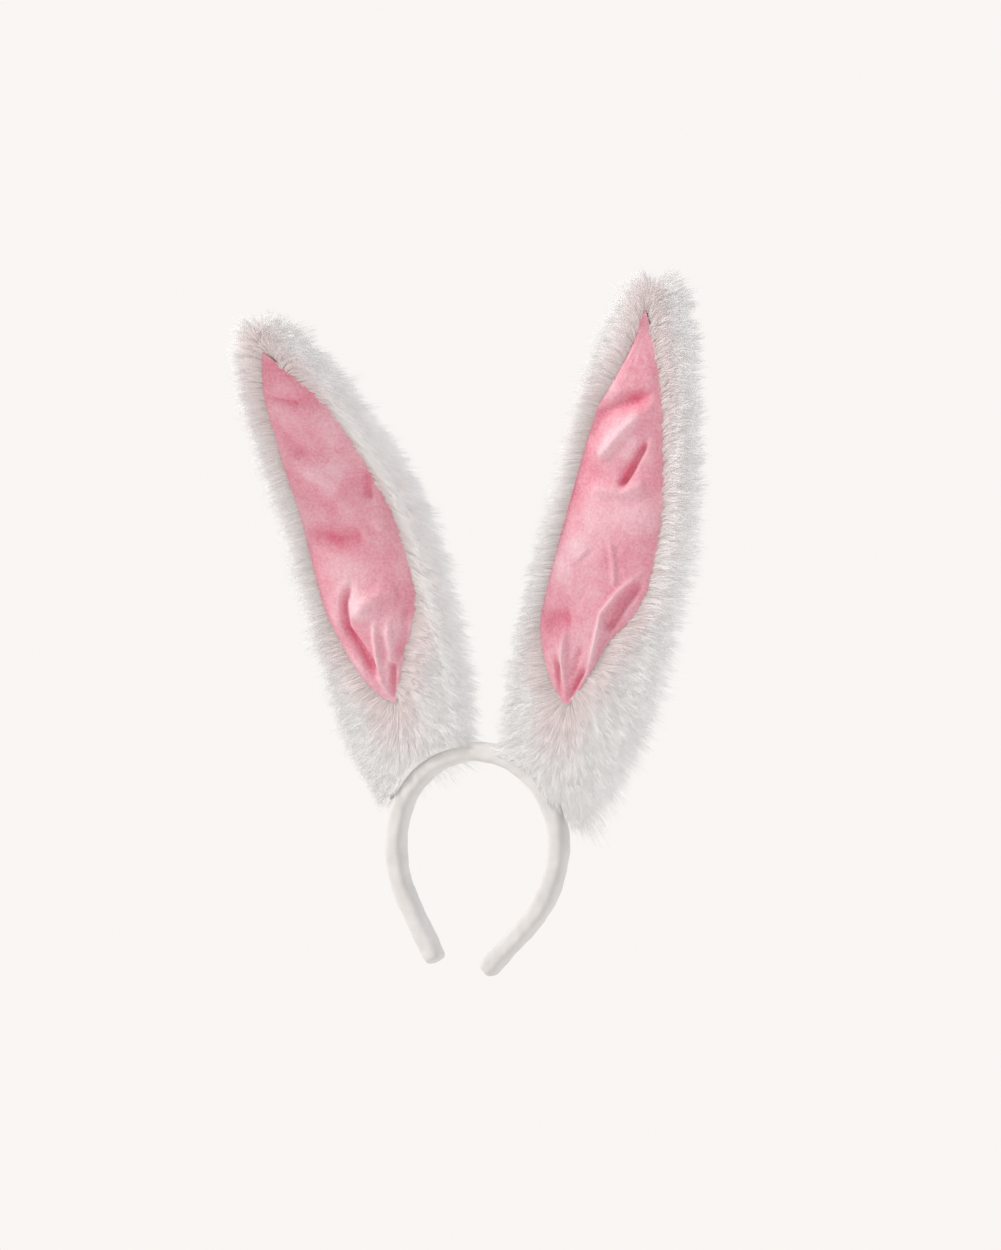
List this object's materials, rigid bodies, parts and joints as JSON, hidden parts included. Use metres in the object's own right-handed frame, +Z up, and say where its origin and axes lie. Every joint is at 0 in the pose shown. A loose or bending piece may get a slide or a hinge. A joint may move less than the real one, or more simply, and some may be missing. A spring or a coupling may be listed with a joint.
{
  "type": "animal ears headband",
  "caption": "Springy padded hoop for the head, covered in white velour, with two tall wired rabbit ears of long white faux fur lined in pink plush.",
  "frame": {"origin": "centre of the round crown's inside arc, on the band's middle plane front to back", "axes": "+Z up through the crown, +Y towards the back, the pink linings face -Y; left is -X and right is +X, as seen by a viewer in front, so left is the wearer's right"},
  "size_m": [0.2856, 0.1866, 0.4789],
  "materials": {
    "faux_fur": "matte",
    "plush": "matte",
    "velour": "matte",
    "foam": "matte",
    "wadding": "matte",
    "plastic_strip": "satin",
    "wire": "satin",
    "tape": "matte",
    "thread": "satin"
  },
  "bodies": {
    "crown": {"crown_core": "plastic_strip", "crown_foam": "foam", "crown_cover": "velour", "crown_seam": "thread", "left_foot_tape": "tape", "left_foot_stitches": "thread", "left_foot_fur": "faux_fur", "left_foot_wadding": "wadding", "left_foot_wire": "wire", "right_foot_tape": "tape", "right_foot_stitches": "thread", "right_foot_fur": "faux_fur", "right_foot_wadding": "wadding", "right_foot_wire": "wire"},
    "left_arm": {"left_arm_core": "plastic_strip", "left_arm_foam": "foam", "left_arm_cover": "velour", "left_tip_tuck": "velour", "left_arm_seam": "thread"},
    "left_ear_lower": {"left_lower_fur": "faux_fur", "left_lower_wadding": "wadding", "left_lower_wire": "wire", "left_lower_lining": "plush"},
    "left_ear_upper": {"left_upper_fur": "faux_fur", "left_upper_wadding": "wadding", "left_upper_wire": "wire", "left_upper_lining": "plush"},
    "right_arm": {"right_arm_core": "plastic_strip", "right_arm_foam": "foam", "right_arm_cover": "velour", "right_tip_tuck": "velour", "right_arm_seam": "thread"},
    "right_ear_lower": {"right_lower_fur": "faux_fur", "right_lower_wadding": "wadding", "right_lower_wire": "wire", "right_lower_lining": "plush"},
    "right_ear_upper": {"right_upper_fur": "faux_fur", "right_upper_wadding": "wadding", "right_upper_wire": "wire", "right_upper_lining": "plush"}
  },
  "joints": [
    {"name": "left_arm_flex", "type": "hinge", "parent": "crown", "child": "left_arm", "pos_m": [-0.0645, 0, -0.0003], "axis": [0, 1, 0], "range_deg": [0, 30], "stiffness_Nm_per_rad": 0.25},
    {"name": "left_ear_lean", "type": "hinge", "parent": "crown", "child": "left_ear_lower", "pos_m": [-0.0658, 0.0065, 0.07388], "axis": [0.9681, 0, 0.2504], "range_deg": [-45, 45]},
    {"name": "left_ear_curl", "type": "hinge", "parent": "left_ear_lower", "child": "left_ear_upper", "pos_m": [-0.10037, -0.04103, 0.20753], "axis": [0.9681, 0, 0.2504], "range_deg": [-30, 65]},
    {"name": "right_arm_flex", "type": "hinge", "parent": "crown", "child": "right_arm", "pos_m": [0.0645, 0, -0.0003], "axis": [0, -1, 0], "range_deg": [0, 30], "stiffness_Nm_per_rad": 0.25},
    {"name": "right_ear_lean", "type": "hinge", "parent": "crown", "child": "right_ear_lower", "pos_m": [0.05174, 0.0065, 0.08782], "axis": [0.9863, 0, -0.165], "range_deg": [-30, 60]},
    {"name": "right_ear_curl", "type": "hinge", "parent": "right_ear_lower", "child": "right_ear_upper", "pos_m": [0.07574, -0.00622, 0.23127], "axis": [0.9863, 0, -0.165], "range_deg": [-25, 75]}
  ]
}
